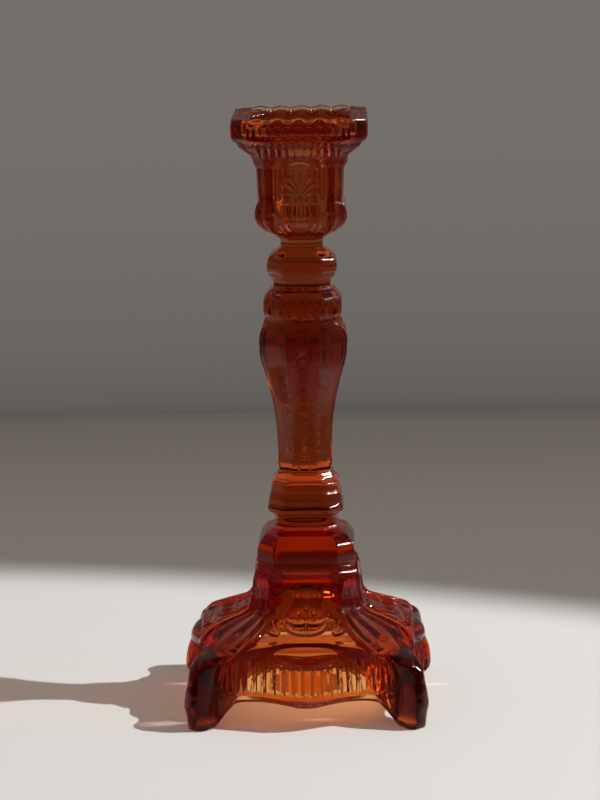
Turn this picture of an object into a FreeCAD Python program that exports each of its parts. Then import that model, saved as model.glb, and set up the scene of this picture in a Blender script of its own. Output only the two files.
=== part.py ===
"""Pressed-glass candlestick: socket, stem and footed base, joined by two glass wafers.

Frame: millimetres, +Z up, origin on the floor under the middle of the base.
X and Y run square to the four sides of the base.
"""
import FreeCAD, Part
import Sketcher
import math
import os

OUT = "parts"
HAUNCH_TURNS = (0, 20, 40, 60, 90)   # degrees along each arch's haunch
SMALLEST_CUT = 1.0                   # cubic millimetres

doc = FreeCAD.newDocument("candlestick")

# ---------------------------------------------------------------- driving dimensions

sizes = doc.addObject("Spreadsheet::Sheet", "Sizes")
next_row = [1]


def dimension(alias, value):
    """One row of the sheet: a name, a plain number in millimetres, and its alias."""
    row = next_row[0]
    sizes.set(f"A{row}", alias)
    sizes.set(f"B{row}", str(value))
    sizes.setAlias(f"B{row}", alias)
    next_row[0] = row + 1


# Every moulded piece is a stack of octagons: squares with canted corners.
# name: (level above the floor, half width across the flats, half length of a flat)
CUP = {
    "waist": (179.6, 7.9, 4.4),
    "bowl_foot": (182.4, 9.8, 5.4),
    "bowl_low": (185.8, 15.2, 9.4),
    "bowl_wide": (190.2, 17.4, 12.6),
    "bowl_top": (195.4, 16.6, 12.6),
    "drum_foot": (197.2, 15.7, 12.6),
    "drum_head": (209.2, 16.2, 13.0),
    "lip": (212.2, 17.6, 13.6),
    "cove": (215.4, 20.6, 15.4),
    "ovolo": (218.2, 23.4, 17.2),
    "band_foot": (220.0, 25.2, 18.4),
    "band_wide": (223.6, 25.6, 18.9),
    "rim": (228.6, 25.0, 18.5),
}

STEM = {
    "foot": (72.6, 11.8, 7.4),
    "collar_low": (75.2, 13.2, 8.0),
    "collar_wide": (77.6, 14.5, 8.6),
    "collar_high": (82.0, 13.8, 8.0),
    "step_low": (84.6, 12.9, 7.2),
    "step_high": (88.2, 12.2, 6.4),
    "ankle": (92.4, 9.9, 4.8),
    "slim": (99.4, 9.6, 4.5),
    "shin": (108.8, 10.1, 4.7),
    "calf": (118.6, 11.4, 5.2),
    "knee": (126.4, 13.3, 6.1),
    "swell": (132.8, 15.3, 7.0),
    "widest": (138.6, 16.3, 7.6),
    "shoulder": (144.8, 16.0, 7.6),
    "fillet_foot": (149.6, 14.2, 7.0),
    "fillet_head": (152.0, 14.2, 7.0),
    "knop_low": (153.4, 14.7, 7.2),
    "knop_high": (158.4, 14.6, 7.2),
    "knop_top": (161.6, 12.8, 6.6),
    "neck_foot": (163.2, 11.0, 6.0),
    "neck_head": (166.2, 11.0, 6.0),
    "bead_low": (168.6, 13.1, 7.0),
    "bead_high": (173.0, 13.2, 7.2),
    "bead_top": (175.8, 11.0, 6.0),
    "head": (178.0, 8.0, 4.6),
}

BASE = {
    "sole": (0.0, 45.2, 40.2),
    "toe": (9.6, 46.6, 42.2),
    "skirt_foot": (12.4, 47.0, 41.4),
    "skirt_wide": (16.0, 47.7, 40.1),
    "skirt_mid": (21.0, 46.9, 39.0),
    "skirt_head": (25.6, 44.8, 36.2),
    "moulding": (31.2, 41.0, 21.0),
    "panel_low": (34.6, 33.4, 17.4),
    "panel_mid": (37.6, 26.0, 14.2),
    "panel_high": (40.4, 22.4, 13.6),
    "ledge": (45.2, 21.2, 13.7),
    "shoulder": (52.4, 20.2, 13.8),
    "plinth_foot": (56.4, 17.8, 12.4),
    "plinth_low": (58.4, 18.4, 12.4),
    "plinth_wide": (61.6, 18.6, 12.4),
    "plinth_high": (64.4, 17.8, 11.8),
    "plinth_step": (66.4, 16.6, 11.1),
    "plinth_top": (68.2, 15.2, 10.2),
    "neck_foot": (69.6, 12.4, 7.8),
    "neck": (71.0, 11.8, 7.4),
}

# The moulding plunger leaves a hollow of the same family of shapes under the base.
HOLLOW = {
    "mouth": (0.0, 38.2, 28.0),
    "skirt": (18.0, 37.2, 24.0),
    "knuckle": (26.0, 32.6, 19.0),
    "slope": (31.0, 23.8, 12.6),
    "throat": (37.0, 13.2, 6.8),
    "flue": (42.0, 8.8, 4.5),
    "crown": (46.6, 4.6, 2.4),
}

FAMILIES = {"cup": CUP, "stem": STEM, "base": BASE, "hollow": HOLLOW}

for family, stations in FAMILIES.items():
    for station, (level, face, flat) in stations.items():
        dimension(f"{family}_{station}_level", level)
        dimension(f"{family}_{station}_face", face)
        dimension(f"{family}_{station}_flat", flat)

dimension("tray_face", 18.6)
dimension("tray_flat", 13.6)
dimension("tray_depth", 7.6)
dimension("socket_radius", 11.25)
dimension("socket_depth", 36.0)
dimension("upper_wafer_radius", 8.2)
dimension("lower_wafer_radius", 12.0)
dimension("arch_crown_offset", 15.0)
dimension("arch_haunch_reach", 20.6)
dimension("arch_height", 10.0)
dimension("arch_drop_height", 8.6)
dimension("arch_below", 5.0)
doc.recompute()


def size(alias):
    """The value of one driving dimension."""
    return float(sizes.get(alias))


# ---------------------------------------------------------------- sketch helpers

def origin_plane(body, role):
    """One of the body's own origin planes."""
    return next(f for f in body.Origin.OriginFeatures if f.Role == role)


def new_sketch(body, name, role="XY_Plane", level_expression=None):
    """A sketch on an origin plane of its body, raised to a level from the sheet."""
    sketch = body.newObject("Sketcher::SketchObject", name)
    sketch.AttachmentSupport = [(origin_plane(body, role), "")]
    sketch.MapMode = "FlatFace"
    if level_expression:
        sketch.setExpression("AttachmentOffset.Base.z", level_expression)
    return sketch


def named_constraint(sketch, name, expression, *definition):
    """A sketch dimension that takes its value from the sheet."""
    index = sketch.addConstraint(Sketcher.Constraint(*definition))
    sketch.renameConstraint(index, name)
    sketch.setExpression(f"Constraints.{name}", expression)


def close_outline(sketch, points):
    """Straight lines from each point to the next, and back to the first."""
    count = len(points)
    for i in range(count):
        sketch.addGeometry(Part.LineSegment(points[i], points[(i + 1) % count]), False)
    for i in range(count):
        sketch.addConstraint(Sketcher.Constraint("Coincident", i, 2, (i + 1) % count, 1))


def add_octagon(sketch, face_alias, flat_alias):
    """A square with canted corners, centred on the sketch's origin."""
    face = size(face_alias)
    flat = size(flat_alias)
    corners = [(flat, -face), (face, -flat), (face, flat), (flat, face),
               (-flat, face), (-face, flat), (-face, -flat), (-flat, -face)]
    close_outline(sketch, [FreeCAD.Vector(x, y, 0) for x, y in corners])
    right, top, left, bottom = 1, 3, 5, 7
    horizontal_axis, vertical_axis = -1, -2
    for line, mirror in ((right, horizontal_axis), (left, horizontal_axis),
                         (top, vertical_axis), (bottom, vertical_axis)):
        sketch.addConstraint(Sketcher.Constraint("Symmetric", line, 1, line, 2, mirror))
    for line in (top, left, bottom):
        sketch.addConstraint(Sketcher.Constraint("Equal", right, line))
    named_constraint(sketch, "flat", f"2 * Sizes.{flat_alias}", "Distance", right, 2 * flat)
    named_constraint(sketch, "east", f"Sizes.{face_alias}", "DistanceX", -1, 1, right, 1, face)
    named_constraint(sketch, "north", f"Sizes.{face_alias}", "DistanceY", -1, 1, top, 1, face)
    named_constraint(sketch, "west", f"Sizes.{face_alias}", "DistanceX", left, 1, -1, 1, face)
    named_constraint(sketch, "south", f"Sizes.{face_alias}", "DistanceY", bottom, 1, -1, 1, face)


def octagon_sections(body, family):
    """One octagon sketch for each station of a family, from the lowest up."""
    sections = []
    for station in FAMILIES[family]:
        prefix = f"{family}_{station}"
        sketch = new_sketch(body, f"{prefix}_section", "XY_Plane", f"Sizes.{prefix}_level")
        add_octagon(sketch, f"{prefix}_face", f"{prefix}_flat")
        sections.append(sketch)
    return sections


def loft(body, name, kind, sections):
    """A ruled loft, added to the body or taken from it."""
    feature = body.newObject(f"PartDesign::{kind}Loft", name)
    feature.Profile = sections[0]
    feature.Sections = sections[1:]
    feature.Ruled = True
    doc.recompute()
    return feature


def must_shrink(body, before, what):
    """A cut has to take glass away."""
    if body.Shape.Volume > before - SMALLEST_CUT:
        raise RuntimeError(f"{what} cut nothing")


# ---------------------------------------------------------------- candle cup

def make_candle_cup():
    """Fluted rim with its drip tray, the candle socket, and the gadrooned bowl."""
    body = doc.addObject("PartDesign::Body", "candle_cup")
    loft(body, "cup_outside", "Additive", octagon_sections(body, "cup"))

    before = body.Shape.Volume
    tray = new_sketch(body, "tray_outline", "XY_Plane", "Sizes.cup_rim_level")
    add_octagon(tray, "tray_face", "tray_flat")
    pocket = body.newObject("PartDesign::Pocket", "tray")
    pocket.Profile = tray
    pocket.setExpression("Length", "Sizes.tray_depth")
    doc.recompute()
    must_shrink(body, before, "the drip tray")

    before = body.Shape.Volume
    circle = new_sketch(body, "socket_outline", "XY_Plane",
                        "Sizes.cup_rim_level - Sizes.tray_depth")
    ring = Part.Circle(FreeCAD.Vector(0, 0, 0), FreeCAD.Vector(0, 0, 1), size("socket_radius"))
    circle.addGeometry(ring, False)
    circle.addConstraint(Sketcher.Constraint("Coincident", 0, 3, -1, 1))
    named_constraint(circle, "radius", "Sizes.socket_radius", "Radius", 0, size("socket_radius"))
    socket = body.newObject("PartDesign::Pocket", "socket")
    socket.Profile = circle
    socket.setExpression("Length", "Sizes.socket_depth")
    doc.recompute()
    must_shrink(body, before, "the candle socket")
    return body


# ---------------------------------------------------------------- stem

def make_stem():
    """Two knops, the octagonal baluster and the stepped collar, in one pressing."""
    body = doc.addObject("PartDesign::Body", "stem")
    loft(body, "stem_outside", "Additive", octagon_sections(body, "stem"))
    return body


# ---------------------------------------------------------------- base

def arch_outline(body, name, role):
    """The gap under one pair of aprons: two low arches with a small drop between them.

    Each haunch is a quarter of an ellipse that starts below the floor.
    """
    sketch = new_sketch(body, name, role)
    reach = size("arch_haunch_reach")
    crown = size("arch_crown_offset")
    rise = size("arch_height") + size("arch_below")
    right = []
    for turn in HAUNCH_TURNS:
        across = crown + reach * math.cos(math.radians(turn))
        up = rise * math.sin(math.radians(turn)) - size("arch_below")
        right.append(FreeCAD.Vector(across, up, 0))
    middle = FreeCAD.Vector(0, size("arch_drop_height"), 0)
    left = [FreeCAD.Vector(-point.x, point.y, 0) for point in reversed(right)]
    points = right + [middle] + left
    close_outline(sketch, points)

    start = 1
    origin, vertical_axis = -1, -2
    last = len(points) - 1
    for i, turn in enumerate(HAUNCH_TURNS):
        named_constraint(sketch, f"across_{turn}",
                         f"Sizes.arch_crown_offset + Sizes.arch_haunch_reach * cos({turn} deg)",
                         "DistanceX", origin, start, i, start, points[i].x)
        level = f"(Sizes.arch_height + Sizes.arch_below) * sin({turn} deg) - Sizes.arch_below"
        if points[i].y > 0:
            named_constraint(sketch, f"up_{turn}", level,
                             "DistanceY", origin, start, i, start, points[i].y)
        else:
            named_constraint(sketch, f"up_{turn}", f"-({level})",
                             "DistanceY", i, start, origin, start, -points[i].y)
        sketch.addConstraint(Sketcher.Constraint("Symmetric", i, start, last - i, start,
                                                 vertical_axis))
    drop = len(right)
    sketch.addConstraint(Sketcher.Constraint("PointOnObject", drop, start, vertical_axis))
    named_constraint(sketch, "drop", "Sizes.arch_drop_height",
                     "DistanceY", origin, start, drop, start, points[drop].y)
    return sketch


def make_base():
    """Plinth and hollow footed foot, with an arched apron on each side."""
    body = doc.addObject("PartDesign::Body", "base")
    loft(body, "base_outside", "Additive", octagon_sections(body, "base"))

    before = body.Shape.Volume
    loft(body, "base_hollow", "Subtractive", octagon_sections(body, "hollow"))
    must_shrink(body, before, "the hollow")

    for name, role in (("front_and_back_arches", "XZ_Plane"), ("side_arches", "YZ_Plane")):
        before = body.Shape.Volume
        pocket = body.newObject("PartDesign::Pocket", name)
        pocket.Profile = arch_outline(body, f"{name}_outline", role)
        pocket.SideType = "Symmetric"
        pocket.Type = "ThroughAll"
        doc.recompute()
        must_shrink(body, before, name)
    return body


# ---------------------------------------------------------------- wafers

def make_wafer(name, radius_alias, low_alias, high_alias):
    """A disc of glass that fuses two pressings together."""
    wafer = doc.addObject("Part::Cylinder", name)
    wafer.setExpression("Radius", f"Sizes.{radius_alias}")
    wafer.setExpression("Height", f"Sizes.{high_alias} - Sizes.{low_alias}")
    wafer.setExpression("Placement.Base.z", f"Sizes.{low_alias}")
    return wafer


nodes = [
    make_candle_cup(),
    make_wafer("upper_wafer", "upper_wafer_radius", "stem_head_level", "cup_waist_level"),
    make_stem(),
    make_wafer("lower_wafer", "lower_wafer_radius", "base_neck_level", "stem_foot_level"),
    make_base(),
]

doc.recompute()
for item in doc.Objects:
    if "Invalid" in item.State or "Error" in item.State:
        raise RuntimeError(f"{item.Name} failed: {item.State}")

os.makedirs(OUT, exist_ok=True)
for node in nodes:
    if node.Shape.isNull() or not node.Shape.isValid():
        raise RuntimeError(f"{node.Label} has no valid shape")
    node.Shape.exportStep(f"{OUT}/{node.Label}.step")
    box = node.Shape.BoundBox
    print(node.Label, "solids", len(node.Shape.Solids), "volume", round(node.Shape.Volume),
          "box", [round(v, 2) for v in (box.XMin, box.YMin, box.ZMin, box.XMax, box.YMax, box.ZMax)])
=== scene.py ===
"""Looks of the pressed-glass candlestick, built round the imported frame."""
import math

import bpy
import numpy as np
from mathutils import Matrix, Vector


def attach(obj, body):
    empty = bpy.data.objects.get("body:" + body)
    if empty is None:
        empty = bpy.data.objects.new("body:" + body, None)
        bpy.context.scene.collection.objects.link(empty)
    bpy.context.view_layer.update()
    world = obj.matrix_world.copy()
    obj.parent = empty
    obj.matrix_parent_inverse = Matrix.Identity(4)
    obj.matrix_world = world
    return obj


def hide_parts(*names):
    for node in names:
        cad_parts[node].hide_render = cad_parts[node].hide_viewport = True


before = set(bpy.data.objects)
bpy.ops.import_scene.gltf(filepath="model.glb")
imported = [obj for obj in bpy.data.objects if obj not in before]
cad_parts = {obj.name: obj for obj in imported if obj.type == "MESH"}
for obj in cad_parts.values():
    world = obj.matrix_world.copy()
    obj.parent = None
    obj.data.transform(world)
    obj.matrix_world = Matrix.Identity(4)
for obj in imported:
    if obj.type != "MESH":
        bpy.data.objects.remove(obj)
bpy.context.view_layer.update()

MM = 0.001
SIDES = 4
MIX_A, MIX_B, MIX_COLOUR = 6, 7, 2     # the colour sockets of a Mix node

# columns of a row of the cup or the stem
HALF_WIDTH, FLAT, OUTSIDE, WAVES = 1, 2, 4, 5


# ---------------------------------------------------------------- curves

def ramp(low, high, value):
    """0 below low, 1 above high, and a smooth ramp between."""
    share = np.clip((value - low) / (high - low), 0.0, 1.0)
    return share * share * (3.0 - 2.0 * share)


def dome(share):
    """A round bump over a distance share: 1 in the middle, 0 from 1 outwards."""
    left = np.clip(1.0 - share ** 2, 0.0, 1.0)
    return left * left


def monotone_slopes(knots, values):
    """Slopes of a smooth curve through the values that never overshoots them."""
    step = np.diff(knots)[:, None]
    rise = np.diff(values, axis=0) / step
    slopes = np.zeros_like(values)
    same_way = rise[:-1] * rise[1:] > 0
    before = 2 * step[1:] + step[:-1]
    after = step[1:] + 2 * step[:-1]
    low = np.where(same_way, rise[:-1], 1.0)
    high = np.where(same_way, rise[1:], 1.0)
    slopes[1:-1] = np.where(same_way, (before + after) / (before / low + after / high), 0.0)
    slopes[0] = rise[0]
    slopes[-1] = rise[-1]
    return slopes


def rows_through(runs, spacing):
    """Rows along a profile: smooth through each run of stations, crisp where runs meet.

    The first two values of a station are its level and its half width; they set the
    distance along the profile. A run may carry its own spacing as (spacing, stations).
    """
    rows = []
    last = None
    for run in runs:
        pace = spacing
        if isinstance(run, tuple):
            pace, run = run
        values = np.array(([last] if last is not None else []) + run, float)
        last = run[-1]
        steps = np.hypot(np.diff(values[:, 0]), np.diff(values[:, 1]))
        knots = np.concatenate([[0.0], np.cumsum(np.maximum(steps, 1e-3))])
        slopes = monotone_slopes(knots, values) if len(values) > 2 else \
            np.repeat(np.diff(values, axis=0) / knots[-1], 2, axis=0)
        place = np.linspace(0.0, knots[-1], max(2, int(round(knots[-1] / pace)) + 1))
        cell = np.clip(np.searchsorted(knots, place, side="right") - 1, 0, len(knots) - 2)
        width = (knots[cell + 1] - knots[cell])[:, None]
        part = (place - knots[cell])[:, None] / width
        line = ((2 * part ** 3 - 3 * part ** 2 + 1) * values[cell]
                + (part ** 3 - 2 * part ** 2 + part) * width * slopes[cell]
                + (3 * part ** 2 - 2 * part ** 3) * values[cell + 1]
                + (part ** 3 - part ** 2) * width * slopes[cell + 1])
        rows.append(line if not rows else line[1:])
    return np.vstack(rows)


def arc_points(points, steps=10):
    """A smooth open curve through a few points, as a finer list of points."""
    points = np.array(points, float)
    ends = np.vstack([2 * points[0] - points[1], points, 2 * points[-1] - points[-2]])
    out = []
    for i in range(1, len(ends) - 2):
        a, b, c, d = ends[i - 1:i + 3]
        for part in np.arange(steps) / steps:
            out.append(0.5 * (2 * b + (c - a) * part + (2 * a - 5 * b + 4 * c - d) * part ** 2
                              + (3 * b - a - 3 * c + d) * part ** 3))
    out.append(points[-1])
    return np.array(out)


def stroke(u, v, points, width, steps=10):
    """How much of a moulded line covers each place: 1 on its middle, 0 outside it.

    width is the half width, or a list with a half width for each point of the curve.
    """
    line = arc_points(points, steps)
    widths = np.interp(np.linspace(0, 1, len(line)), np.linspace(0, 1, len(np.atleast_1d(width))),
                       np.atleast_1d(width))
    best = np.full(u.shape, 9.0)
    for (x0, y0), (x1, y1), w0, w1 in zip(line[:-1], line[1:], widths[:-1], widths[1:]):
        dx, dy = x1 - x0, y1 - y0
        part = np.clip(((u - x0) * dx + (v - y0) * dy) / (dx * dx + dy * dy + 1e-12), 0.0, 1.0)
        away = np.hypot(u - x0 - part * dx, v - y0 - part * dy) / (w0 + (w1 - w0) * part)
        best = np.minimum(best, away)
    return dome(best)


def column(rows, index):
    """One column of the rows, shaped to spread over each ring."""
    return rows[:, index:index + 1]


def wave_phase(place, pitch):
    """Where a place lies in its flute or rib: -1 and 1 at the edges, 0 in the middle."""
    return (place / pitch + 0.5) % 1.0 * 2 - 1


def round_head(phase):
    """A half round over one phase, as the head of a flute has."""
    return np.sqrt(np.clip(1 - phase ** 2, 0, 1))


def bead(u, v, centre_u, centre_v, half_u, half_v):
    """A round or oval boss."""
    return dome(np.hypot((u - centre_u) / half_u, (v - centre_v) / half_v))


# ---------------------------------------------------------------- closed grids

def octagon_grid(rows, columns, sharpness):
    """Rings of a square with canted corners, starting at the middle of the front.

    A row is (level, half width across the flats, half length of a flat, roundness, ...).
    Returns the points and each point's place across its own side.
    """
    level, face, flat, roundness = rows.T[:4, :, None]
    turn = np.arange(columns) / columns * 2 * math.pi - math.pi / 2
    total = 0.0
    for k in range(2 * SIDES):
        reach = face if k % 2 == 0 else (face + flat) / math.sqrt(2.0)
        total = total + (np.maximum(0.0, np.cos(turn - k * math.pi / 4)) / reach) ** sharpness
    radius = total ** (-1.0 / sharpness)
    radius = radius + (face - radius) * roundness
    folded = (turn + math.pi / 2 + math.pi / 4) % (math.pi / 2) - math.pi / 4
    points = np.stack([radius * np.cos(turn), radius * np.sin(turn),
                       np.broadcast_to(level, radius.shape)], axis=-1)
    return points, radius * np.sin(folded)


def outward(points):
    """Unit normals of a ringed grid; they point out of the glass if its outside runs upwards."""
    around = np.roll(points, -1, axis=1) - np.roll(points, 1, axis=1)
    along = np.gradient(points, axis=0)
    normal = np.cross(around, along)
    return normal / np.maximum(np.linalg.norm(normal, axis=2, keepdims=True), 1e-9)


def place_in_scene(name, content):
    item = bpy.data.objects.new(name, content)
    bpy.context.scene.collection.objects.link(item)
    return item


def glass_piece(node, points, upward, material):
    """A closed mesh from rings of points, capped with a pole at each end."""
    rings, columns, _ = points.shape
    poles = np.array([points[0].mean(axis=0), points[-1].mean(axis=0)])
    vertices = np.vstack([points.reshape(-1, 3), poles]) * MM
    index = np.arange(rings * columns).reshape(rings, columns)
    right = np.roll(index, -1, axis=1)
    quads = np.stack([index[:-1], right[:-1], right[1:], index[1:]], axis=-1).reshape(-1, 4)
    start, end = rings * columns, rings * columns + 1
    first_cap = np.stack([np.full(columns, start), right[0], index[0]], axis=-1)
    last_cap = np.stack([np.full(columns, end), index[-1], right[-1]], axis=-1)
    faces = quads.tolist() + first_cap.tolist() + last_cap.tolist()
    if not upward:
        faces = [face[::-1] for face in faces]
    mesh = bpy.data.meshes.new(node + "_mesh")
    mesh.from_pydata(vertices.tolist(), [], faces)
    mesh.polygons.foreach_set("use_smooth", [True] * len(mesh.polygons))
    mesh.materials.append(material)
    mesh.update()
    piece = place_in_scene(node + "_glass", mesh)
    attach(piece, "root")
    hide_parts(node)
    return piece


# ---------------------------------------------------------------- materials

def glass(name, density, tint, gloss):
    """Pressed glass: clear at the surface, coloured through its whole thickness.

    gloss is the share of each colour that the surface reflects, compared with plain glass.
    """
    material = bpy.data.materials.new(name)
    material.use_nodes = True
    tree = material.node_tree
    tree.nodes.clear()
    output = tree.nodes.new("ShaderNodeOutputMaterial")
    surface = tree.nodes.new("ShaderNodeBsdfPrincipled")
    surface.inputs["Base Color"].default_value = (1.0, 1.0, 1.0, 1.0)
    surface.inputs["Metallic"].default_value = 0.0
    surface.inputs["Roughness"].default_value = 0.02
    surface.inputs["IOR"].default_value = 1.52
    surface.inputs["Specular Tint"].default_value = (*gloss, 1.0)
    surface.inputs["Transmission Weight"].default_value = 1.0
    body = tree.nodes.new("ShaderNodeVolumeAbsorption")
    body.inputs["Color"].default_value = (*tint, 1.0)
    body.inputs["Density"].default_value = density
    tree.links.new(surface.outputs["BSDF"], output.inputs["Surface"])
    tree.links.new(body.outputs["Volume"], output.inputs["Volume"])
    return material


def multiply_node(tree):
    """A node that multiplies two colours."""
    mix = tree.nodes.new("ShaderNodeMix")
    mix.data_type = "RGBA"
    mix.blend_type = "MULTIPLY"
    return mix


# one amber glass throughout; the base's walls are thinner, so its glass has a deeper tint
AMBER = (0.93, 0.68, 0.44)
DEEP_AMBER = (0.940, 0.585, 0.110)
SOFT_GLOSS = (0.34, 0.28, 0.25)
WARM_GLOSS = (0.34, 0.19, 0.175)
cup_glass = glass("pressed_cup_glass", 365.0, AMBER, SOFT_GLOSS)
wafer_glass = glass("pressed_wafer_glass", 385.0, AMBER, SOFT_GLOSS)
stem_glass = glass("pressed_stem_glass", 330.0, AMBER, SOFT_GLOSS)
base_glass = glass("pressed_base_glass", 290.0, DEEP_AMBER, WARM_GLOSS)


class Tint:
    """Multiplies a glass's colour by masks of place. Some layers are painted shade that darkens parts
    lying in shade; the others only shift the colour where they lie.

    Masks go from 0 to 1, and their limits are in metres.
    """

    def __init__(self, material):
        self.tree = material.node_tree
        self.target = self.tree.nodes["Principled BSDF"].inputs["Base Color"]
        place = self.tree.nodes.new("ShaderNodeTexCoord")
        axes = self.tree.nodes.new("ShaderNodeSeparateXYZ")
        self.tree.links.new(place.outputs["Object"], axes.inputs["Vector"])
        x, y = [self.math("ABSOLUTE", axes.outputs[name]) for name in ("X", "Y")]
        self.level = axes.outputs["Z"]
        self.far = self.math("MAXIMUM", x, y)        # the larger distance from the middle
        self.near = self.math("MINIMUM", x, y)       # the smaller one
        self.colour = None

    def math(self, operation, *values):
        node = self.tree.nodes.new("ShaderNodeMath")
        node.operation = operation
        for socket, value in zip(node.inputs, values):
            self.tree.links.new(value, socket)
        return node.outputs["Value"]

    def mask(self, value, none, full):
        """0 where the value is at none, 1 where it is at full."""
        node = self.tree.nodes.new("ShaderNodeMapRange")
        node.inputs["From Min"].default_value = none
        node.inputs["From Max"].default_value = full
        self.tree.links.new(value, node.inputs["Value"])
        return node.outputs["Result"]

    def both(self, first, second):
        """The place that two masks share."""
        return self.math("MULTIPLY", first, second)

    def layer(self, mask, colour):
        """Multiplies the surface colour by a colour where the mask is 1."""
        mix = multiply_node(self.tree)
        mix.inputs[MIX_A].default_value = (1.0, 1.0, 1.0, 1.0)
        mix.inputs[MIX_B].default_value = (*colour, 1.0)
        self.tree.links.new(mask, mix.inputs["Factor"])
        if self.colour is not None:
            self.tree.links.new(self.colour, mix.inputs[MIX_A])
        self.colour = mix.outputs[MIX_COLOUR]
        self.tree.links.new(self.colour, self.target)


def tint_and_shade_base():
    tint = Tint(base_glass)

    low_skirt = tint.mask(tint.level, 0.0270, 0.0250)
    tint.layer(low_skirt, (1.0, 0.74, 0.46))

    # painted shade: the outer wall of the upper skirt, round the boss and moulding, is darkened
    outer_wall = tint.mask(tint.far, 0.0385, 0.0400)
    shaded_upper_skirt = tint.both(tint.mask(tint.level, 0.0240, 0.0255),
                            tint.mask(tint.level, 0.0320, 0.0305))
    tint.layer(tint.both(outer_wall, shaded_upper_skirt), (0.60, 0.36, 0.40))

    # painted shade: the feet are darkened almost to black above the sole; the sole is left light
    foot = tint.mask(tint.near, 0.028, 0.034)
    above_sole = tint.both(tint.mask(tint.level, 0.0015, 0.0050),
                           tint.mask(tint.level, 0.036, 0.028))
    tint.layer(tint.both(foot, above_sole), (0.13, 0.03, 0.03))

    # painted shade: the legs under the plinth are darkened
    leg = tint.mask(tint.math("SUBTRACT", tint.far, tint.near), 0.013, 0.008)
    under_plinth = tint.mask(tint.level, 0.056, 0.050)
    tint.layer(tint.both(leg, under_plinth), (0.66, 0.40, 0.45))

    # painted shade: the reeded sides of the legs on the slope are darkened
    shaded_reeded_side = tint.mask(tint.math("DIVIDE", tint.near, tint.far), 0.53, 0.58)
    slope = tint.both(tint.mask(tint.level, 0.0280, 0.0300),
                      tint.mask(tint.level, 0.0400, 0.0350))
    tint.layer(tint.both(shaded_reeded_side, slope), (0.66, 0.44, 0.48))

    plinth = tint.mask(tint.level, 0.0440, 0.0470)
    tint.layer(plinth, (0.58, 1.0, 1.0))


def tint_stem():
    tint = Tint(stem_glass)
    baluster = tint.both(tint.mask(tint.level, 0.0885, 0.0920),
                         tint.mask(tint.level, 0.1510, 0.1490))
    tint.layer(baluster, (0.86, 0.60, 0.42))


def tint_and_shade_cup():
    tint = Tint(cup_glass)

    # painted shade: the inside of the tray at the top of the rim is darkened to a deep red
    shaded_tray = tint.both(tint.mask(tint.far, 0.0206, 0.0198), tint.mask(tint.level, 0.2208, 0.2214))
    tint.layer(shaded_tray, (0.58, 0.03, 0.004))

    # the mask has no upper end, so it covers the whole socket and the tray's middle
    socket = tint.both(tint.mask(tint.far, 0.0124, 0.0118),
                       tint.mask(tint.level, 0.1845, 0.1855))
    tint.layer(socket, (0.92, 0.52, 0.34))


tint_and_shade_base()
tint_stem()
tint_and_shade_cup()


# ---------------------------------------------------------------- candle cup

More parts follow.
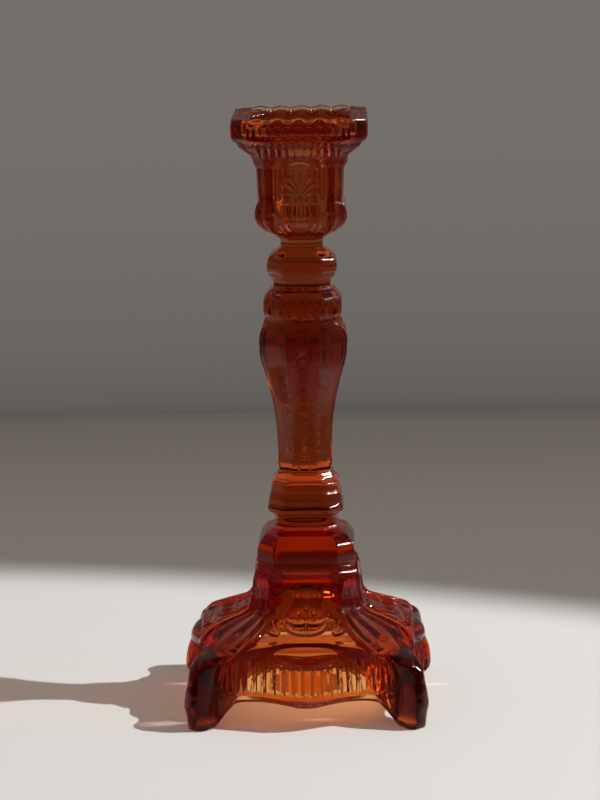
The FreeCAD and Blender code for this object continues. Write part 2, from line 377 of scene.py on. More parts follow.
def make_cup():
    # level, half width, flat half length, roundness, outside, waves
    runs = [
        (2.0, [(179.63, 0.4, 0.2, 1, 0, 0), (179.63, 7.5, 4.2, 0, 0, 0)]),
        (0.3, [(179.8, 7.8, 4.3, 0, 0, 0), (181.3, 8.2, 4.5, 0, 1, 0), (182.3, 9.6, 5.3, 0, 1, 0)]),
        [(183.4, 11.8, 6.7, 0, 1, 0), (184.6, 13.8, 8.1, 0, 1, 0), (185.8, 15.3, 9.6, 0, 1, 0),
         (186.9, 16.3, 10.9, 0, 1, 0), (188.3, 17.0, 11.9, 0, 1, 0), (190.0, 17.4, 12.6, 0, 1, 0),
         (192.1, 17.25, 12.7, 0, 1, 0), (193.8, 16.95, 12.7, 0, 1, 0),
         (195.4, 16.5, 12.6, 0, 1, 0)],
        (0.4, [(196.0, 15.8, 12.6, 0, 1, 0)]),
        [(197.2, 15.6, 12.6, 0, 1, 0), (203.0, 15.85, 12.8, 0, 1, 0),
         (209.2, 16.1, 13.0, 0, 1, 0)],
        (0.4, [(209.8, 16.6, 13.2, 0, 1, 0), (211.0, 17.1, 13.4, 0, 1, 0),
               (211.9, 17.2, 13.5, 0, 1, 0)]),
        (0.4, [(212.9, 17.8, 13.9, 0, 1, 0), (213.8, 18.5, 14.3, 0, 1, 0),
               (215.4, 20.4, 15.3, 0, 1, 0), (216.7, 21.9, 16.2, 0, 1, 0)]),
        (0.4, [(217.1, 22.5, 16.6, 0, 1, 0), (218.3, 23.1, 17.0, 0, 1, 0),
               (219.2, 24.1, 17.6, 0, 1, 0), (219.8, 24.8, 18.1, 0, 1, 0)]),
        (0.4, [(220.4, 25.1, 18.3, 0, 1, 0)]),
        (0.4, [(220.7, 25.5, 18.8, 0, 1, 0), (222.4, 25.6, 18.9, 0, 1, 0),
               (224.6, 25.6, 18.9, 0, 1, 0), (226.2, 25.45, 18.8, 0, 1, 0.3),
               (227.6, 25.2, 18.6, 0, 1, 0.8), (228.4, 24.8, 18.4, 0, 1, 1),
               (228.6, 24.3, 18.1, 0, 1, 1)]),
        (0.5, [(228.3, 23.4, 17.4, 0, 0, 1), (227.7, 20.8, 15.6, 0, 0, 1),
               (227.1, 19.4, 14.5, 0, 0, 0.9), (225.6, 18.6, 13.6, 0, 0, 0.3)]),
        (1.0, [(222.0, 18.2, 13.3, 0, 0, 0), (221.3, 17.8, 13.0, 0, 0, 0),
               (221.0, 17.0, 12.6, 0, 0, 0)]),
        (1.0, [(221.0, 12.4, 9.0, 1, 0, 0), (220.8, 11.6, 9.0, 1, 0, 0),
               (220.2, 11.25, 9.0, 1, 0, 0)]),
        (1.2, [(190.0, 11.2, 9.0, 1, 0, 0), (187.6, 10.3, 9.0, 1, 0, 0),
               (185.8, 8.2, 7.0, 1, 0, 0), (185.0, 4.8, 4.0, 1, 0, 0)]),
        (2.0, [(185.0, 0.4, 0.2, 1, 0, 0)]),
    ]
    rows = rows_through(runs, 0.42)
    points, u = octagon_grid(rows, columns=480, sharpness=70)
    outside = np.clip(column(rows, OUTSIDE), 0, 1)
    wave = np.clip(column(rows, WAVES), 0, 1)
    z = points[..., 2]
    across = np.abs(u)
    on_face = ramp(0.2, -0.2, across - (column(rows, FLAT) - 0.3))

    relief = np.zeros_like(z)

    # flutes round the rim: scooped, with sharp ridges between and rounded tops
    rim_pitch = 3.85
    phase = wave_phase(u, rim_pitch)
    top = 223.2 + 2.1 * round_head(phase)
    band = ramp(0.5, -0.3, z - top) * (z > 220.5)
    relief -= 1.15 * (1 - phase ** 2) * band * on_face * outside

    # small gadroons on the cove under the rim
    phase = wave_phase(u, 2.6)
    cove = ramp(212.3, 213.0, z) * ramp(219.6, 219.0, z)
    relief -= 0.6 * phase ** 2 * cove * outside

    # bowl: broad flutes at the corners that shorten towards the middle of each face
    turn_out = np.arctan2(u, column(rows, HALF_WIDTH))
    phase = wave_phase(turn_out, math.radians(15.0))
    corner = np.abs(turn_out) / math.radians(45)
    head = 186.4 + 9.0 * corner ** 1.2 - 2.4 * phase ** 2
    bowl = ramp(0.5, -0.8, z - head) * ramp(182.0, 184.0, z) * (z < 196.0)
    relief -= 1.15 * (1 - phase ** 2) * bowl * ramp(0.0, 0.16, corner) * outside

    # sunk panel on each face of the drum, under a small arch
    arch = 208.0 + 2.7 * dome(u / 8.2) ** 0.5
    inside = ramp(0.35, -0.35, across - 7.2) * ramp(0.35, -0.35, z - arch) * ramp(197.1, 197.6, z)
    relief -= 0.5 * inside * outside
    lines = np.maximum(dome((across - 7.7) / 0.45), dome((across - 9.3) / 0.5))
    relief += 0.35 * lines * ramp(197.0, 197.5, z) * ramp(0.3, -0.3, z - 209.2) * outside
    arch_line = stroke(across, z, [(0, 212.0), (2.8, 211.6), (4.8, 210.7), (6.2, 209.5),
                                   (7.4, 209.2)], [0.8, 0.8, 0.7, 0.6, 0.8])
    relief += 0.8 * arch_line * outside

    # palmette
    leaves = np.maximum.reduce([
        stroke(across, z, [(0, 207.8), (0, 206.0), (0, 203.6), (0, 199.6)],
               [0.15, 0.8, 0.9, 0.3]),
        0.9 * stroke(across, z, [(0.5, 199.0), (1.6, 202.2), (3.0, 204.8), (4.6, 205.8),
                                 (6.2, 205.0)], [0.25, 0.5, 0.6, 0.6, 0.5]),
        0.9 * stroke(across, z, [(0.8, 198.7), (2.3, 200.8), (4.1, 202.6), (5.9, 203.3),
                                 (6.9, 202.3)], [0.25, 0.5, 0.6, 0.6, 0.5]),
        0.9 * stroke(across, z, [(1.0, 198.2), (2.8, 199.3), (4.8, 199.9), (6.4, 199.4),
                                 (6.9, 198.6)], [0.25, 0.5, 0.6, 0.6, 0.5]),
        0.8 * bead(across, z, 0, 198.0, 1.0, 0.7),
    ])
    relief += 0.8 * leaves * outside

    points = points + outward(points) * relief[..., None]

    # scallops along the rim's upper edge, each over two flutes
    scallop = 0.36
    drop = scallop * (1 - np.cos(2 * math.pi * u / (2 * rim_pitch))) * ramp(19.4, 19.1, across)
    drop = drop + scallop * ramp(19.1, 19.5, across)
    points[..., 2] -= drop * wave
    return glass_piece("candle_cup", points, True, cup_glass)


# ---------------------------------------------------------------- wafers

def make_wafer(node, low, high, radius):
    middle = (low + high) / 2
    runs = [
        (3.0, [(low + 0.03, 0.4, 0.2, 1), (low + 0.03, radius - 0.7, 1, 1)]),
        (0.2, [(low + 0.15, radius - 0.3, 1, 1), (middle, radius - 0.02, 1, 1),
               (high - 0.15, radius - 0.3, 1, 1), (high - 0.03, radius - 0.7, 1, 1)]),
        (3.0, [(high - 0.03, 0.4, 0.2, 1)]),
    ]
    rows = rows_through(runs, 0.3)
    points, _ = octagon_grid(rows, columns=160, sharpness=60)
    return glass_piece(node, points, True, wafer_glass)


# ---------------------------------------------------------------- stem

def make_stem():
    # level, half width, flat half length, roundness, outside
    runs = [
        (2.0, [(72.63, 0.4, 0.2, 1, 0), (72.63, 11.4, 7.2, 0, 0)]),
        (0.3, [(73.3, 11.9, 7.5, 0, 1), (75.0, 12.9, 8.0, 0, 1), (76.2, 13.9, 8.4, 0, 1)]),
        (0.4, [(76.6, 14.4, 8.6, 0, 1), (77.9, 14.5, 8.6, 0, 1), (78.9, 14.2, 8.5, 0, 1)]),
        (0.4, [(79.2, 13.9, 8.3, 0, 1), (82.0, 13.8, 8.0, 0, 1), (83.8, 13.3, 7.7, 0, 1)]),
        (0.4, [(84.4, 12.9, 7.3, 0, 1), (87.2, 12.8, 7.1, 0, 1), (88.3, 12.1, 6.5, 0, 1)]),
        (0.4, [(88.9, 11.4, 6.0, 0, 1), (90.4, 10.7, 5.4, 0, 1), (91.9, 10.1, 4.9, 0, 1),
               (93.6, 9.8, 4.8, 0, 1)]),
        (0.6, [(96.4, 9.65, 4.6, 0, 1), (99.5, 9.6, 4.5, 0, 1), (104.8, 9.8, 4.6, 0, 1),
               (110.4, 10.2, 4.8, 0, 1), (115.8, 10.85, 5.1, 0, 1), (120.6, 11.8, 5.4, 0, 1),
               (125.4, 12.9, 5.9, 0, 1), (130.0, 14.3, 6.3, 0, 1), (134.2, 15.6, 6.5, 0, 1),
               (138.2, 16.3, 6.7, 0, 1), (141.2, 16.35, 6.8, 0, 1), (144.6, 16.0, 6.8, 0, 1),
               (146.9, 15.3, 6.8, 0, 1), (148.9, 14.3, 6.8, 0, 1)]),
        (0.3, [(149.6, 13.9, 6.8, 0, 1), (151.9, 14.1, 6.9, 0, 1)]),
        (0.3, [(152.3, 14.4, 7.4, 0, 1), (153.6, 14.8, 8.2, 0, 1), (156.0, 14.8, 8.4, 0, 1),
               (158.6, 14.6, 8.3, 0, 1), (160.2, 13.7, 7.8, 0, 1), (161.6, 12.6, 7.0, 0, 1)]),
        (0.3, [(162.4, 11.3, 6.3, 0, 1), (164.4, 10.8, 6.0, 0, 1), (166.2, 11.1, 6.0, 0, 1)]),
        (0.3, [(166.7, 12.0, 6.5, 0, 1), (168.6, 12.6, 6.8, 0, 1)]),
        (0.3, [(169.3, 13.2, 7.1, 0, 1), (171.4, 13.25, 7.2, 0, 1), (173.2, 13.0, 7.1, 0, 1),
               (174.7, 12.2, 6.7, 0, 1), (175.9, 10.8, 5.9, 0, 1), (176.9, 9.4, 5.2, 0, 1)]),
        (0.3, [(177.97, 8.0, 4.6, 0, 0)]),
        (2.0, [(177.97, 0.4, 0.2, 1, 0)]),
    ]
    rows = rows_through(runs, 0.42)
    points, u = octagon_grid(rows, columns=400, sharpness=36)
    outside = np.clip(column(rows, OUTSIDE), 0, 1)
    z = points[..., 2]
    across = np.abs(u)
    relief = np.zeros_like(z)

    # gadroons round the large knop
    phase = wave_phase(u, 3.05)
    head = 157.8 + 1.8 * round_head(phase)
    knop = ramp(152.4, 153.0, z) * ramp(0.5, -0.4, z - head)
    relief -= 1.4 * phase ** 4 * knop * outside

    # each face of the baluster: a tongue, a sunk strip of husks with a loop over it, and edge lines
    smile = stroke(across, z, [(0, 147.6), (2.0, 147.9), (3.4, 148.5), (4.2, 149.3)], 0.55)
    tongue = stroke(across, z, [(0, 144.0), (0, 140.8)], 2.0) ** 0.6
    strip = ramp(0.3, -0.3, across - 1.6) * ramp(97.0, 98.0, z) * ramp(129.5, 128.5, z)
    husk_phase = ((z - 98.0) / 3.9) % 1.0
    husk = ramp(0.0, 0.4, 1 - np.hypot(across / 1.25, (husk_phase - 0.45) / 0.42))
    husk = husk * ramp(97.0, 98.0, z) * ramp(130.0, 129.0, z)
    edge = dome((across - (column(rows, FLAT) - 0.5)) / 0.55)
    edge = edge * ramp(94.0, 96.0, z) * ramp(149.0, 146.0, z)
    loop_reach = np.hypot(across / 2.0, (z - 134.6) / 2.6)
    loop = ramp(0.3, 0.12, np.abs(loop_reach - 1.0)) - ramp(1.5, 1.3, loop_reach)
    lines = ramp(0.5, 0.2, np.abs(across - 2.1)) * ramp(92.5, 94.0, z) * ramp(129.0, 125.0, z)
    relief += (0.7 * smile + 0.6 * tongue - strip + 1.1 * husk + 0.5 * edge) * outside
    relief += (loop + 0.7 * lines) * outside
    points = points + outward(points) * relief[..., None]
    return glass_piece("stem", points, True, stem_glass)


# ---------------------------------------------------------------- base

# columns of a row of the base
LEVEL, RIB_Y, RIB_U, BASE_OUTSIDE, UNDER = 0, 2, 3, 10, 11

KNEE = 0.7               # how far along a plain corner's cant its knee lies

# grid columns of half a side
FACE_COLUMNS = 72        # from the middle of a face to its side rib
WALL_COLUMNS = 3         # from the side rib to the side of the foot
SIDE_COLUMNS = 8         # along the side of the leg to its knee
END_COLUMNS = 2          # from the knee to the corner


def base_ring(row):
    """Half of one side of a ring, from the middle of the face to the corner."""
    centre, rib_y, rib_u, bow, foot_u, foot_y, knee_u, knee_y, corner = row
    share = np.arange(FACE_COLUMNS + 1) / FACE_COLUMNS
    face_u = rib_u * share
    lip = np.sin(np.minimum(face_u, 25.0) * math.pi / 50) ** 2
    lip = lip / max(lip[-1], 1e-6)
    cove = share ** 7
    u = [face_u]
    y = [centre + (rib_y - centre) * (cove + (lip - cove) * bow)]
    last = (rib_u, rib_y)
    for columns, place in ((WALL_COLUMNS, (foot_u, foot_y)), (SIDE_COLUMNS, (knee_u, knee_y)),
                           (END_COLUMNS, (corner, corner))):
        share = np.arange(1, columns + 1) / columns
        u.append(last[0] + (place[0] - last[0]) * share)
        y.append(last[1] + (place[1] - last[1]) * share)
        last = place
    return np.concatenate(u), np.concatenate(y)


def apron_edge(across):
    """Level of the apron's lower edge: a small drop, two low arches, then the feet."""
    return np.interp(across, [0, 3, 6, 9, 12, 16, 20, 24, 27, 29.7, 32, 34.0, 34.8],
                     [8.6, 8.7, 9.2, 9.6, 9.8, 9.9, 9.8, 9.5, 9.0, 6.2, 3.3, 0.8, 0.0])


def make_base():
    # level, middle, rib y, rib u, bow, foot u, foot y, knee u, knee y, corner, outside, under
    def octagon(level, face, flat, outside=1):
        corner = (face + flat) / 2
        return (level, face, face, flat, 1, flat, face, flat + (corner - flat) * KNEE,
                face + (corner - face) * KNEE, corner, outside, 0)

    def chamfer(level, middle, rib_u, rib_y, corner, bow=1):
        return (level, middle, rib_y, rib_u, bow, rib_u, rib_y,
                rib_u + (corner - rib_u) * KNEE, rib_y + (corner - rib_y) * KNEE, corner, 1, 0)

    def pad(level, middle, rib_u, rib_y, foot_u, foot_y, knee_y, corner, outside=1, under=0):
        return (level, middle, rib_y, rib_u, 1, foot_u, foot_y, 2 * corner - knee_y, knee_y,
                corner, outside, under)

    runs = [
        (2.0, [octagon(70.97, 0.5, 0.3, 0), octagon(70.97, 11.4, 7.2, 0)]),
        (0.4, [octagon(70.8, 11.8, 7.4), octagon(69.8, 12.3, 7.7), octagon(69.0, 13.6, 8.8),
               octagon(68.3, 15.1, 10.1)]),
        (0.5, [octagon(67.8, 15.6, 10.4), octagon(66.4, 16.6, 11.1)]),
        (0.5, [octagon(66.0, 16.9, 11.3), octagon(64.6, 17.8, 11.9), octagon(63.4, 18.3, 12.2)]),
        (0.6, [octagon(62.8, 18.45, 12.3), octagon(60.4, 18.6, 12.4), octagon(58.2, 18.4, 12.4),
               octagon(57.0, 17.9, 12.2)]),
        (0.4, [chamfer(56.3, 17.5, 12.1, 17.6, 14.9, 0)]),
        (0.5, [chamfer(55.2, 17.3, 13.0, 18.9, 16.0, 0), chamfer(53.4, 17.2, 13.6, 19.7, 16.8, 0),
               chamfer(51.0, 17.2, 13.8, 19.9, 17.0, 0), chamfer(48.5, 17.6, 13.5, 20.1, 17.0, 0),
               chamfer(46.6, 18.8, 13.2, 20.3, 17.0, 0.1), chamfer(45.3, 20.6, 13.0, 20.4, 17.0, 0.5),
               chamfer(44.2, 20.9, 12.8, 20.5, 17.05, 1)]),
        (0.55, [chamfer(42.0, 21.4, 13.0, 20.8, 17.4), chamfer(40.4, 22.5, 13.2, 21.6, 17.9),
                chamfer(38.3, 24.9, 13.9, 23.4, 19.4), chamfer(36.5, 28.3, 15.1, 28.1, 22.5),
                chamfer(34.9, 32.0, 16.9, 32.4, 25.5), chamfer(33.8, 35.5, 18.2, 34.9, 27.3),
                chamfer(33.0, 38.5, 19.3, 36.6, 28.6)]),
        (0.4, [chamfer(32.4, 40.3, 20.5, 37.5, 29.6), chamfer(31.2, 41.0, 22.3, 38.9, 31.3),
               chamfer(29.9, 41.7, 24.0, 39.8, 33.0)]),
        (0.5, [chamfer(28.4, 42.7, 25.8, 40.0, 35.0),
               pad(27.6, 43.3, 26.6, 40.0, 28.0, 39.2, 38.6, 37.0),
               pad(27.2, 43.6, 27.0, 40.0, 29.6, 38.4, 40.2, 38.0),
               pad(26.4, 44.2, 28.0, 40.0, 30.4, 38.3, 41.8, 39.6)]),
        (0.5, [pad(25.0, 45.2, 29.7, 39.9, 31.6, 38.2, 43.2, 41.1),
               pad(23.5, 46.0, 30.6, 39.8, 32.2, 38.1, 44.1, 42.1),
               pad(21.9, 46.6, 31.3, 39.7, 32.8, 38.0, 44.6, 42.8),
               pad(20.3, 47.1, 31.8, 39.6, 33.1, 37.9, 44.9, 43.2),
               pad(17.2, 47.6, 32.5, 39.3, 33.7, 37.8, 45.4, 43.6),
               pad(15.6, 47.7, 32.7, 39.1, 33.9, 37.8, 45.8, 43.9),
               pad(14.0, 47.5, 32.95, 38.9, 34.0, 37.8, 46.1, 44.1),
               pad(12.3, 47.0, 33.3, 38.6, 34.1, 37.8, 46.3, 44.2)]),
    ]
    rows = rows_through(runs, 0.5)

    # below the lip every ring leans towards the apron's edge and the sole of the foot;
    # a step of toe holds the share of the lean, then the middle, rib, knee and corner
    toe = [(0.0, 47.0, 38.6, 46.3, 44.2), (0.11, 46.6, 38.5, 46.6, 44.4),
           (0.24, 46.1, 38.4, 46.6, 44.4), (0.37, 45.7, 38.3, 46.3, 44.0),
           (0.5, 45.4, 38.2, 46.0, 43.6), (0.67, 45.1, 38.1, 45.7, 43.3),
           (0.88, 44.8, 37.9, 45.5, 43.0), (1.0, 44.5, 37.8, 45.2, 42.7)]
    shares, *lean = zip(*toe)
    under = []
    for share in (0.06, 0.12, 0.18, 0.25, 0.32, 0.4, 0.5, 0.6, 0.7, 0.8, 0.9, 0.96, 1.0):
        middle, rib, knee, corner = [np.interp(share, shares, values) for values in lean]
        under.append(pad(12.3, middle, 33.3, rib, 34.1, 37.8 - 0.4 * share, knee, corner, 0, share))
    for part in (0.33, 0.66, 1.0):
        under.append((12.3, 44.5 - 6.1 * part, 37.8 - 3.6 * part, 33.3 - 4.3 * part, 1,
                      34.1 - 4.9 * part, 37.4 - 2.8 * part, 40.2 - 8.8 * part,
                      45.2 - 12.2 * part, 42.7 - 10.5 * part, 0, 1.0))
    for part in (0.25, 0.5, 0.75, 1.0):
        under.append((12.3 + 1.5 * part, 38.4 - 0.6 * part, 34.2 - 0.4 * part,
                      29.0 - 5.0 * part, 1, 29.2 - 5.0 * part, 34.6 - 0.2 * part,
                      31.4 - 4.0 * part, 33.0 - 2.0 * part, 32.2 - 3.0 * part, 0, 1.0 - part))

    def inner(level, middle, rib_u, rib_y, corner):
        return chamfer(level, middle, rib_u, rib_y, corner)[:BASE_OUTSIDE] + (0, 0)

    hollow = rows_through([[
        inner(13.8, 37.8, 24.0, 33.8, 29.0), inner(20.0, 37.0, 22.0, 32.8, 27.6),
        inner(24.4, 34.8, 20.0, 30.6, 25.4), inner(28.0, 30.4, 17.0, 26.8, 21.8),
        inner(31.0, 24.0, 12.6, 21.8, 17.2), inner(34.0, 17.6, 9.0, 16.6, 12.8),
        inner(37.0, 13.2, 6.8, 12.6, 9.7), inner(40.0, 10.4, 5.4, 10.0, 7.7),
        inner(43.0, 8.2, 4.2, 7.9, 6.1), inner(45.4, 6.0, 3.1, 5.8, 4.5),
        inner(46.6, 3.4, 1.8, 3.3, 2.6), inner(47.0, 0.4, 0.2, 0.39, 0.3)]], 2.0)
    rows = np.vstack([rows, under, hollow[1:]])

    grid = []
    places = []
    for row in rows:
        u, y = base_ring(row[LEVEL + 1:BASE_OUTSIDE])
        u = np.concatenate([-u[:0:-1], u])
        y = np.concatenate([y[:0:-1], y])
        u, y = u[1:], y[1:]
        level = np.full(u.shape, row[LEVEL])
        if row[UNDER] > 0:
            level = row[LEVEL] + (apron_edge(np.abs(u)) - row[LEVEL]) * row[UNDER]
        ring = []
        for k in range(SIDES):
            turn = math.radians(-90 + 90 * k)
            out_x, out_y = math.cos(turn), math.sin(turn)
            ring.append(np.stack([y * out_x - u * out_y, y * out_y + u * out_x, level], axis=-1))
        grid.append(np.vstack(ring))
        places.append(np.tile(u, SIDES))
    points = np.array(grid)
    u = np.array(places)
    points = (np.roll(points, 1, axis=1) + 2 * points + np.roll(points, -1, axis=1)) / 4
    z = points[..., 2]
    across = np.abs(u)
    outside = np.clip(column(rows, BASE_OUTSIDE), 0, 1)
    rib_u = column(rows, RIB_U)
    relief = np.zeros_like(z)

    # ribbed skirt: narrow ridges with scooped flutes between, taller towards the sides
    phase = wave_phase(u, 3.72)
    head = 23.3 + 3.2 * ramp(7, 27, across) + 1.3 * round_head(phase)
    flutes = ramp(0.5, -0.4, z - head) * ramp(0.0, -1.0, across - rib_u)
    relief -= 1.7 * (1 - phase ** 2) * flutes * ramp(12.2, 13.2, z) * outside

    # smooth boss over the ribs, and the serpentine moulding above it
    boss = np.clip(1 - (u / 12.6) ** 2 - ((z - 28.1) / 3.3) ** 2, 0, 1) ** 0.8
    relief += 1.7 * boss * outside
    crest = np.interp(across, [0, 8, 12, 15, 18, 21, 26], [32.6, 32.4, 31.3, 31.0, 30.6, 29.9, 27.6])
    relief += 0.75 * dome((z - crest) / 0.85) * ramp(0.5, -0.5, across - rib_u + 0.6) * outside

    # ribs down both sides of every face, and the reeds that fan out along the legs
    rib = dome((across - rib_u + 0.3) / 1.15) * ramp(13.0, 20.0, z) * ramp(53.0, 51.0, z)
    relief += 0.75 * rib * outside
    half = FACE_COLUMNS + WALL_COLUMNS + SIDE_COLUMNS + END_COLUMNS
    from_middle = np.abs(np.arange(2 * half) - (half - 1))
    leg = np.clip((from_middle - FACE_COLUMNS) / (half - FACE_COLUMNS), 0.0, 1.0)
    leg = np.tile(leg, SIDES)[None, :]
    reeded = ramp(29.5, 32.5, z) * ramp(54.0, 51.5, z) * (leg > 0)
    reed_size = np.interp(z, [28, 34, 38, 46, 54], [0.8, 1.0, 0.8, 0.6, 0.3])
    reeds = round_head((leg * 2.5) % 1.0 * 2 - 1)
    relief += (reeds - 0.7) * reed_size * reeded * outside
    groove = dome((leg - 0.1) / 0.1) * ramp(26.0, 29.0, z) * ramp(54.0, 51.0, z) * (leg > 0)
    relief -= 0.7 * groove * outside

    # the feet are full and rounded
    across_paw = np.clip((leg - 0.1) / 0.9, 0.0, 1.0)
    paw = np.sin(math.pi * np.minimum(across_paw / 0.8, 1.0)) * ramp(28.0, 24.0, z) * (leg > 0.1)
    toe_wall = (column(rows, UNDER) > 0) * (column(rows, RIB_Y) > 37.0)
    relief += 1.2 * paw * np.clip(column(rows, BASE_OUTSIDE) + toe_wall, 0, 1)

    # ornament of the panel: pearls, a lyre-shaped bracket, leaf, fans and two ovals
    panel = np.maximum.reduce([
        bead(across, z, 0, 40.9, 1.15, 0.9),
        bead(across, z, 2.9, 39.4, 1.15, 0.9),
        stroke(across, z, [(0, 36.9), (2.6, 36.6), (5.4, 36.9), (7.6, 37.9), (8.4, 38.9)], 0.6),
        stroke(across, z, [(0, 34.3), (3.0, 34.4), (5.8, 35.0), (7.6, 36.2), (8.2, 37.2)], 0.5),
        stroke(across, z, [(0, 36.4), (0, 34.6)], [0.5, 1.2]),
        stroke(across, z, [(10.2, 34.6), (11.4, 36.0), (12.4, 37.2)], [0.4, 0.6]),
        stroke(across, z, [(10.6, 34.4), (12.4, 35.4), (13.6, 36.6)], [0.4, 0.6]),
        stroke(across, z, [(11.0, 34.2), (13.2, 34.6), (14.6, 35.4)], [0.4, 0.6]),
        1.3 * bead(across, z, 12.1, 32.6, 2.6, 1.3),
    ])
    relief += 0.75 * panel * outside
    # the outside runs downwards here, so the grid's normals point into the glass
    points = points - outward(points) * relief[..., None]
    points[..., 2] = np.maximum(points[..., 2], 0.0)
    return glass_piece("base", points, False, base_glass)


make_cup()
make_wafer("upper_wafer", 178.0, 179.6, 8.2)
make_stem()
make_wafer("lower_wafer", 71.0, 72.6, 12.0)
make_base()


# ---------------------------------------------------------------- stage

def linear(r, g, b):
    """A screen colour, 0 to 255, as a light value."""
    return tuple(((c / 255.0 + 0.055) / 1.055) ** 2.4 if c > 10 else c / 255.0 / 12.92
                 for c in (r, g, b))


def plain(name, colour, roughness=0.8):
    material = bpy.data.materials.new(name)
    material.use_nodes = True
    surface = material.node_tree.nodes["Principled BSDF"]
    surface.inputs["Base Color"].default_value = (*colour, 1.0)
    surface.inputs["Roughness"].default_value = roughness
    surface.inputs["Specular IOR Level"].default_value = 0.1
    return material


def flat_sheet(name, x_range, y_range, z, material):
    """A level rectangle of the stage."""
    (left, right), (front, back) = x_range, y_range
    mesh = bpy.data.meshes.new(name)
    mesh.from_pydata([(left, front, z), (right, front, z), (right, back, z), (left, back, z)],
                     [], [(0, 1, 2, 3)])
    mesh.materials.append(material)
    sheet = place_in_scene(name, mesh)
    return sheet


def colour_steps(tree, value, stops):
    """A colour that follows a value through a list of (value, colour) stops."""
    low, high = stops[0][0], stops[-1][0]
    fit = tree.nodes.new("ShaderNodeMapRange")
    fit.inputs["From Min"].default_value = low
    fit.inputs["From Max"].default_value = high
    steps = tree.nodes.new("ShaderNodeValToRGB")
    tree.links.new(value, fit.inputs["Value"])
    tree.links.new(fit.outputs["Result"], steps.inputs["Fac"])
    elements = steps.color_ramp.elements
    while len(elements) < len(stops):
        elements.new(0.5)
    for element, (at, colour) in zip(elements, stops):
        element.position = (at - low) / (high - low)
        element.color = (*colour, 1.0)
    return steps.outputs["Color"]


FLOOR_BACK = 0.562
FLOOR_COLOUR = (0.80, 0.765, 0.735)
shaded_floor_paint = plain("shaded_floor_paint", FLOOR_COLOUR)
floor = flat_sheet("floor", (-1.1, 1.1), (-0.75, FLOOR_BACK), 0.0, shaded_floor_paint)
floor.location.z = -0.00005

# painted shade: the floor is a little darker towards its far edge, where less light reaches it
tree = shaded_floor_paint.node_tree
spot_on_floor = tree.nodes.new("ShaderNodeTexCoord")
floor_axes = tree.nodes.new("ShaderNodeSeparateXYZ")
tree.links.new(spot_on_floor.outputs["Object"], floor_axes.inputs["Vector"])
floor_shade = colour_steps(tree, floor_axes.outputs["Y"], [
    (0.15, FLOOR_COLOUR), (0.30, (0.73, 0.70, 0.66)), (0.45, (0.60, 0.57, 0.545)),
    (0.53, (0.53, 0.50, 0.48)), (FLOOR_BACK, (0.44, 0.415, 0.395))])
tree.links.new(floor_shade, tree.nodes["Principled BSDF"].inputs["Base Color"])

# the room: a shaded wall behind the object, and a darker one behind the camera
world = bpy.data.worlds.new("studio")
bpy.context.scene.world = world
world.use_nodes = True
tree = world.node_tree
tree.nodes.clear()
world_out = tree.nodes.new("ShaderNodeOutputWorld")
background = tree.nodes.new("ShaderNodeBackground")
direction = tree.nodes.new("ShaderNodeTexCoord")
axes = tree.nodes.new("ShaderNodeSeparateXYZ")
tree.links.new(direction.outputs["Generated"], axes.inputs["Vector"])
wall = colour_steps(tree, axes.outputs["Z"], [
    (-0.30, linear(80, 76, 71)), (-0.2005, linear(84, 80, 76)), (-0.193, linear(98, 94, 91)),
    (-0.175, linear(107, 102, 99)), (-0.14, linear(114, 108, 104)), (-0.11, linear(117, 111, 107)),
    (0.0, linear(119, 113, 108)), (0.3, linear(123, 118, 114)), (0.6, linear(138, 133, 128)),
    (1.0, linear(158, 152, 146))])
room = colour_steps(tree, axes.outputs["Y"], [
    (-1.0, (0.45, 0.44, 0.43)), (-0.75, (0.6, 0.59, 0.58)), (-0.3, (0.95, 0.95, 0.95)),
    (1.0, (1.0, 1.0, 1.0))])
mix = multiply_node(tree)
mix.inputs["Factor"].default_value = 1.0
tree.links.new(wall, mix.inputs[MIX_A])
tree.links.new(room, mix.inputs[MIX_B])
tree.links.new(mix.outputs[MIX_COLOUR], background.inputs["Color"])
tree.links.new(background.outputs["Background"], world_out.inputs["Surface"])


def aim(item, target):
    """Turns a lamp to face a point."""
    direction = Vector(target) - item.location
    item.rotation_euler = direction.to_track_quat("-Z", "Y").to_euler()


def spot(name, place, target, power, colour, angle, blend, radius):
    lamp = bpy.data.lights.new(name, "SPOT")
    lamp.energy = power
    lamp.color = colour
    lamp.spot_size = math.radians(angle)
    lamp.spot_blend = blend
    lamp.shadow_soft_size = radius
    item = place_in_scene(name, lamp)
    item.location = place
    aim(item, target)
    return item


# the window's light, and a weak lamp in the same place that the object doesn't block
KEY_DISTANCE = 3.2
KEY_TURN = math.radians(-6.0)
KEY_RISE = math.radians(48.0)
KEY_PLACE = KEY_DISTANCE * Vector((math.cos(KEY_RISE) * math.cos(KEY_TURN),
                                   math.cos(KEY_RISE) * math.sin(KEY_TURN), math.sin(KEY_RISE)))
KEY_AIM = (-0.17, -0.24, 0.0)


def key_lamp(name, colour):
    return spot(name, KEY_PLACE, KEY_AIM, 365.0, colour, angle=15.5, blend=0.06, radius=0.025)


key_lamp("key", (0.90, 0.972, 1.005))
glow = key_lamp("key_glow", (0.112, 0.082, 0.066))

# a flag out of view keeps the lamps off the floor in front, as a window's frame would
FLAG_EDGE = -0.225
flag = flat_sheet("flag", (0.1, 2.0), (-1.8, FLAG_EDGE), 0.9,
                  plain("flag_paint", (0.02, 0.02, 0.02)))
for ray in ("camera", "diffuse", "glossy", "transmission", "volume_scatter"):
    setattr(flag, "visible_" + ray, False)
blockers = bpy.data.collections.new("glow_blockers")
blockers.objects.link(flag)
glow.light_linking.blocker_collection = blockers


def card(name, place, target, width, height, power):
    """A soft light panel that only shows as a reflection in the glass."""
    lamp = bpy.data.lights.new(name, "AREA")
    lamp.shape = "RECTANGLE"
    lamp.size = width
    lamp.size_y = height
    lamp.energy = power
    item = place_in_scene(name, lamp)
    item.location = place
    aim(item, target)
    item.visible_camera = False
    item.visible_diffuse = False
    return item


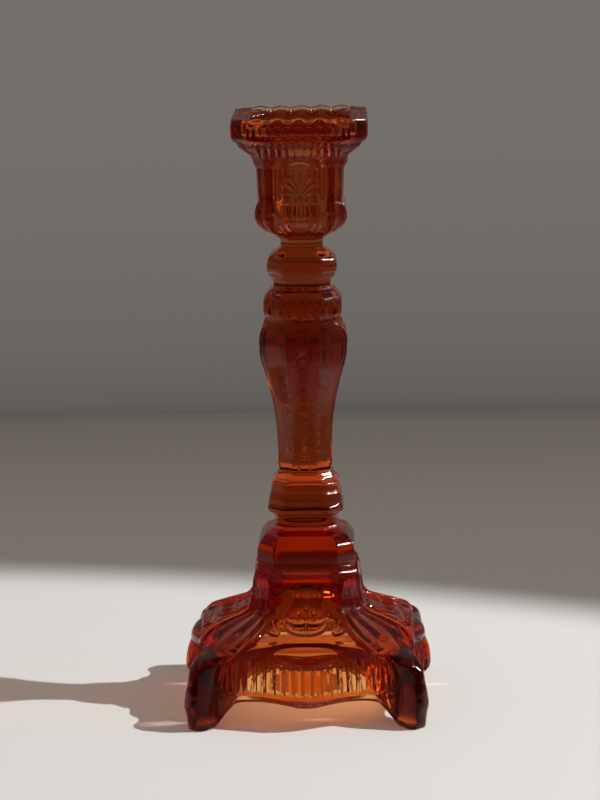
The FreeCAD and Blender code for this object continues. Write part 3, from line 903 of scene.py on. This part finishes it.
# the two panes of a tall window
for name, shift in (("left_pane", -0.06), ("right_pane", 0.06)):
    card(name, (2.18, 0.31 + shift, 1.38), (0, 0, 0.12), 0.08, 0.85, 24.0)

# light that gathers under the hollow base
pool = card("hollow_glow", (0, 0, 0.030), (0, 0, 0), 0.05, 0.05, 0.0042)
pool.data.color = (1.0, 0.62, 0.34)
pool.visible_diffuse = True
pool.visible_glossy = False
pool.visible_transmission = False

# bright streaks the glass throws on the floor
for name, place, lean, power in (("streak_left", (-0.0490, -0.033, 0.018), -0.0055, 0.0062),
                                 ("streak_far_left", (-0.0505, -0.036, 0.012), -0.0075, 0.0020),
                                 ("streak_back_left", (-0.0490, 0.020, 0.012), -0.002, 0.0020),
                                 ("streak_back_right", (0.0490, 0.016, 0.010), 0.001, 0.0012),
                                 ("streak_middle", (0.004, -0.030, 0.014), 0.001, 0.0022),
                                 ("streak_right", (0.024, -0.036, 0.012), 0.001, 0.0016)):
    streak = spot(name, place, (place[0] + lean, place[1], 0.0), power, (1.0, 0.72, 0.58),
                  angle=44.0, blend=1.0, radius=0.0)
    streak.scale = (0.42, 1.6, 1.0)        # makes the spot an oval
    streak.visible_glossy = False
    streak.visible_transmission = False


# ---------------------------------------------------------------- camera

camera_data = bpy.data.cameras.new("camera")
camera = place_in_scene("camera", camera_data)
camera_data.sensor_fit = "VERTICAL"
camera_data.sensor_height = 24.0
camera_data.lens = 92.43
camera_data.clip_start = 0.01
YAW = math.radians(-1.5)
ROLL = 0.0165
PITCH = math.radians(11.19)
DISTANCE = 1.157
HEIGHT = 0.347
SIDE_SHIFT = 0.001647       # the axis stands a little right of the middle
forward = Vector((math.sin(YAW), math.cos(YAW), 0.0))
right = Vector((math.cos(YAW), -math.sin(YAW), 0.0))
camera.location = -forward * DISTANCE - right * SIDE_SHIFT + Vector((0, 0, HEIGHT))
look = (forward * math.cos(PITCH) + Vector((0, 0, -math.sin(PITCH)))).normalized()
up = right.cross(look)
basis = Matrix((right, up, -look)).transposed()
roll = Matrix.Rotation(-ROLL, 3, "Z")
camera.rotation_euler = (basis @ roll).to_euler()
bpy.context.scene.camera = camera


# ---------------------------------------------------------------- render settings

scene = bpy.context.scene
scene.view_settings.view_transform = "Standard"
cycles = scene.cycles
cycles.max_bounces = 24
cycles.transmission_bounces = 24
cycles.glossy_bounces = 12
cycles.diffuse_bounces = 3
cycles.transparent_max_bounces = 12
cycles.volume_bounces = 0
cycles.sample_clamp_indirect = 4.0
cycles.blur_glossy = 0.5
cycles.caustics_reflective = True
cycles.caustics_refractive = True

bpy.context.view_layer.update()
